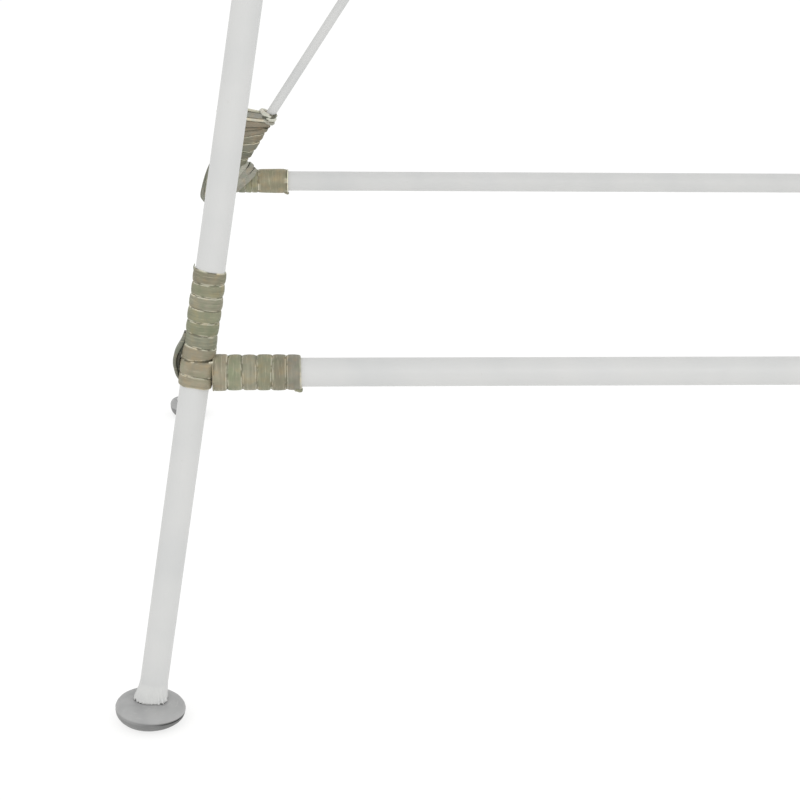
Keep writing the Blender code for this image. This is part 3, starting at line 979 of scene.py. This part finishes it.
# Bowl stations: radius where the crease is open, height, radius where it is closed.
FRONT_BOWL = (
    (0.016, 0.0, 0.016), (0.0182, 0.0004, 0.018), (0.0205, 0.0014, 0.0201),
    (0.0222, 0.0029, 0.0219), (0.0232, 0.0044, 0.0231), (0.0236, 0.0057, 0.0237),
    (0.0236, 0.0065, 0.0239), (0.0222, 0.0071, 0.024))
BACK_BOWL = (
    (0.0118, 0.0, 0.0118), (0.0132, 0.0004, 0.0134), (0.0148, 0.0016, 0.0151),
    (0.0161, 0.0033, 0.0165), (0.0169, 0.0052, 0.0174), (0.0173, 0.0066, 0.0178),
    (0.0173, 0.0073, 0.018), (0.0164, 0.0078, 0.0181))
# Socket for the stud's ball, down from the shell's mouth: radius, height.
SOCKET = ((0.0058, 0.0152), (0.0044, 0.0124), (0.0047, 0.0112), (0.0049, 0.0095),
          (0.004, 0.0066), (AXIS_R, 0.0046))
PAD_SIDES = 96
# The shell sits askew about its hub; the tilt grows with the radius and up the bowl.
SHELL_TILT = radians(5.0)
HUB_HEIGHT = 0.0095
TILT_FROM = 0.0125
TILT_OVER = 0.006
TILT_HEIGHT = 0.008
# Painted shade as tints, where the crease is closed and where it is open: the bowl darker under
# the shell, its crease darkest where it opens.
BOWL_PAINTED_SHADE = (0.6, 0.3)
CREASE_PAINTED_SHADE = (0.72, 0.06)


def shell_of(row):
    return FRONT_SHELL if row == "front" else BACK_SHELL


def shell_height(row, x, y):
    """Top of the shell over a point of the floor plan, measured from the glide's middle."""
    dome = shell_of(row)[:DOME_STATIONS]
    return float(np.interp(hypot(x, y), [p[0] for p in dome], [p[1] for p in dome]))


def build_pad(row, hand):
    """Mushroom glide: a domed shell, a little askew, over a bowl darkened with painted shade.

    The crease between them opens inward."""
    pivot, tilt_axis = PIVOTS[f"pad_tilt_{row}_{hand}"]
    lean = leg_up(row, hand)
    inward = atan2(lean.y, lean.x)
    bowl = FRONT_BOWL if row == "front" else BACK_BOWL
    upper = tuple(reversed(shell_of(row))) + SOCKET
    profile = ((AXIS_R, 0.0, AXIS_R),) + bowl + tuple((r, z, r) for r, z in upper)
    bowl_end = 1 + len(bowl)
    shell_end = bowl_end + len(shell_of(row))
    angles = np.linspace(0.0, 2.0 * pi, PAD_SIDES, endpoint=False)
    points = np.zeros((len(profile), PAD_SIDES, 3))
    tints = np.ones((len(profile), PAD_SIDES, 3))
    askew = Matrix.Rotation(SHELL_TILT, 3, tilt_axis)
    hub = Vector((0.0, 0.0, HUB_HEIGHT))
    for i, (radius_open, height, radius_closed) in enumerate(profile):
        for j, angle in enumerate(angles):
            share_open = 0.5 + 0.5 * cos(angle - inward)
            share_open = share_open * share_open * (3.0 - 2.0 * share_open)
            radius = radius_closed + (radius_open - radius_closed) * share_open
            spot = Vector((radius * cos(angle), radius * sin(angle), height))
            if i < shell_end:
                share = min(1.0, max(0.0, (radius - TILT_FROM) / TILT_OVER))
                share *= min(1.0, height / TILT_HEIGHT)
                spot = spot.lerp(hub + askew @ (spot - hub), share)
            points[i, j] = spot
            # Painted shade: the bowl, and most of all its crease where it opens, darkened through
            # the tint.
            if i <= bowl_end:
                closed, opened = BOWL_PAINTED_SHADE if i < bowl_end - 1 else CREASE_PAINTED_SHADE
                tints[i, j] = closed + (opened - closed) * share_open
    soup = Soup()
    soup.tube(points, tints)
    base = Matrix.Translation((pivot.x, pivot.y, 0.0))
    obj = make_object(f"grey_glide_{row}_{hand}", soup, base, PAD, 55.0)
    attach(obj, f"pad_{row}_{hand}")
    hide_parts(f"glide_pad_{row}_{hand}")


def lobe(angle, middle, width):
    """Smooth hump of height 1 around one direction, angles in degrees."""
    away = abs((degrees(angle) - middle + 180.0) % 360.0 - 180.0)
    return exp(-(away / width) ** 2)


SLEEVE_SIDES = 144
SLEEVE_ROWS = 18
# Heights over the ball's centre: the sleeve's top, and a first guess at its foot.
SLEEVE_TOP = 0.0235
FOOT_GUESS = 0.008
FOOT_PASSES = 12
SLEEVE_WALL = 0.0005
DOME_ROOM = 0.00025


def build_sleeve(row, hand, side, seed):
    """Thin white sleeve over the leg's end; its ragged skirt lies on the glide's dome."""
    pivot = PIVOTS[f"pad_tilt_{row}_{hand}"][0]
    up = leg_up(row, hand)
    matrix = local_frame(pivot, up, Vector((-side, 0.0, 0.0)))
    front_way = -copysign(1.0, (matrix.to_3x3() @ WORLD_Y).y)
    outer = np.zeros((SLEEVE_ROWS, SLEEVE_SIDES, 3))
    inner = np.zeros((SLEEVE_ROWS, SLEEVE_SIDES, 3))
    for j, angle in enumerate(around(SLEEVE_SIDES)):
        way = Vector((cos(angle), sin(angle), 0.0))
        outer_lobe = lobe(angle, 180.0 - front_way * 12.0, 34.0)
        inner_lobe = lobe(angle, front_way * 46.0, 24.0)
        inner_lobe += 0.7 * lobe(angle, -front_way * 70.0, 30.0)
        ridges = 0.5 + 0.5 * sin(angle * 29.0 + seed)
        crumple = wobble(way.x * 6.0, way.y * 6.0, 2.0, seed + 5)
        flare = 0.0004 + 0.0021 * outer_lobe
        flare += 0.0032 * inner_lobe * (0.4 + 0.6 * ridges) + 0.0005 * crumple
        flare = max(0.0002, flare)
        reach = TUBE_R + SLEEVE_WALL + flare
        foot = FOOT_GUESS
        for _ in range(FOOT_PASSES):
            spot = matrix @ (way * reach + WORLD_Z * foot)
            foot += shell_height(row, spot.x - pivot.x, spot.y - pivot.y) + DOME_ROOM - spot.z
        loose = min(1.0, outer_lobe + inner_lobe)
        tear = 0.0048 * wobble(way.x * 7.0, way.y * 7.0, 5.0, seed + 9) + 0.0002
        foot += loose * max(0.0, tear)
        for i in range(SLEEVE_ROWS):
            share = i / (SLEEVE_ROWS - 1.0)
            z = foot + (SLEEVE_TOP - foot) * share
            fade = max(0.0, 1.0 - share * 1.25) ** 2.0
            r = TUBE_R - 0.0002 + 0.0008 * (1.0 - share) + flare * fade
            r += 0.00025 * fade * wobble(way.x * 9.0, way.y * 9.0, share * 3.0, seed + 2)
            outer[i, j] = way * r + WORLD_Z * z
            inner[i, j] = way * (r - SLEEVE_WALL) + WORLD_Z * z
    soup = Soup()
    soup.grid(np.concatenate([outer, inner[::-1]]), (1.0, 1.0, 1.0), True, True)
    obj = make_object(f"white_sleeve_{row}_{hand}", soup, matrix, SLEEVE)
    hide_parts(f"foot_sleeve_{row}_{hand}")
    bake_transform(obj)


def finish_cad_nodes():
    """The studs keep their own shape; only their material changes."""
    for name, obj in frame["nodes"].items():
        if name.startswith("glide_stud"):
            for material_slot in obj.material_slots:
                material_slot.material = STEEL


# ---- stage, light and camera
FLOOR_HALF = 14.0
FLOOR_DROP = 0.0002
FLOOR_LOOK = (("Base Color", (0.31, 0.31, 0.308, 1.0)), ("Roughness", 0.9),
              ("Specular IOR Level", 0.0), ("Emission Color", (1.0, 1.0, 0.995, 1.0)),
              ("Emission Strength", 0.72))
WORLD_STRENGTH = 1.02
# Lens and sensor in mm; turns in degrees; stand in tube diameters from a mark on the front
# left leg's axis, which is so many metres above the floor.
LENS = 74.548
SENSOR = 36.0
YAW = radians(3.947)
PITCH = radians(19.615)
ROLL = radians(1.0825)
STAND = (5.17016, -53.48402, 30.76666)
MARK_HEIGHT = 0.0118


def build_stage():
    """Plain pale floor that melts into the background."""
    mesh = bpy.data.meshes.new("studio_floor")
    corners = ((-1.0, -1.0), (1.0, -1.0), (1.0, 1.0), (-1.0, 1.0))
    mesh.from_pydata([(x * FLOOR_HALF, y * FLOOR_HALF, 0.0) for x, y in corners], [],
                     [(0, 1, 2, 3)])
    floor = bpy.data.objects.new("studio_floor", mesh)
    floor.location.z = -FLOOR_DROP
    SCENE.collection.objects.link(floor)
    mat, _, shader = new_material("pale_floor")
    for socket, value in FLOOR_LOOK:
        shader.inputs[socket].default_value = value
    mesh.materials.append(mat)


def add_area(name, location, target, size, power):
    """Round soft lamp at a place, turned to its target."""
    data = bpy.data.lights.new(name, "AREA")
    data.shape = "DISK"
    data.size = size
    data.energy = power
    lamp = bpy.data.objects.new(name, data)
    lamp.location = location
    lamp.rotation_euler = (Vector(target) - Vector(location)).to_track_quat("-Z", "Y").to_euler()
    SCENE.collection.objects.link(lamp)


def build_light():
    """Even white surroundings with a weak key and a weaker fill."""
    world = SCENE.world or bpy.data.worlds.new("studio")
    SCENE.world = world
    world.use_nodes = True
    background = world.node_tree.nodes["Background"]
    background.inputs["Color"].default_value = (1.0, 1.0, 1.0, 1.0)
    background.inputs["Strength"].default_value = WORLD_STRENGTH
    add_area("key", (0.5, -3.2, 1.7), (0.0, 0.0, 0.3), 1.6, 15.0)
    add_area("fill", (-2.6, -1.6, 2.4), (0.0, 0.0, 0.4), 2.0, 5.0)


def build_camera():
    """Looks at the lower left corner from the front, a little to the left and above."""
    data = bpy.data.cameras.new("view")
    data.sensor_width = SENSOR
    data.lens = LENS
    data.clip_start = 0.05
    data.clip_end = 60.0
    camera = bpy.data.objects.new("view", data)
    forward = Vector((sin(YAW) * cos(PITCH), cos(YAW) * cos(PITCH), -sin(PITCH)))
    right = Vector((cos(YAW), -sin(YAW), 0.0))
    up = right.cross(forward)
    x = right * cos(ROLL) + up * sin(ROLL)
    y = up * cos(ROLL) - right * sin(ROLL)
    rotation = Matrix((x, y, -forward)).transposed().to_4x4()
    place = leg_at("front", "left", MARK_HEIGHT) + Vector([c * D for c in STAND])
    camera.matrix_world = Matrix.Translation(place) @ rotation
    SCENE.collection.objects.link(camera)
    SCENE.camera = camera
    SCENE.view_settings.view_transform = "Standard"


build_tubes()
for row_index, row in enumerate(ROWS):
    for side_index, (hand, sign) in enumerate(SIDES):
        corner_number = 2 * row_index + side_index
        for tier_name, up_or_down, first_seed in (("lower", 1.0, 1), ("middle", -1.0, 6),
                                                  ("top", -1.0, 11)):
            build_joint(tier_name, row, hand, sign, up_or_down, corner_number + first_seed)
        build_pad(row, hand)
        build_sleeve(row, hand, sign, corner_number + 2)
for hand, sign in SIDES:
    opposite = "right" if hand == "left" else "left"
    build_web("lower", hand, sign, hand, "lower", 1.0, 3 + int(sign))
    build_web("top", hand, sign, opposite, "top", -1.0, 7 + int(sign))
build_crossing()
finish_cad_nodes()
build_stage()
build_light()
build_camera()
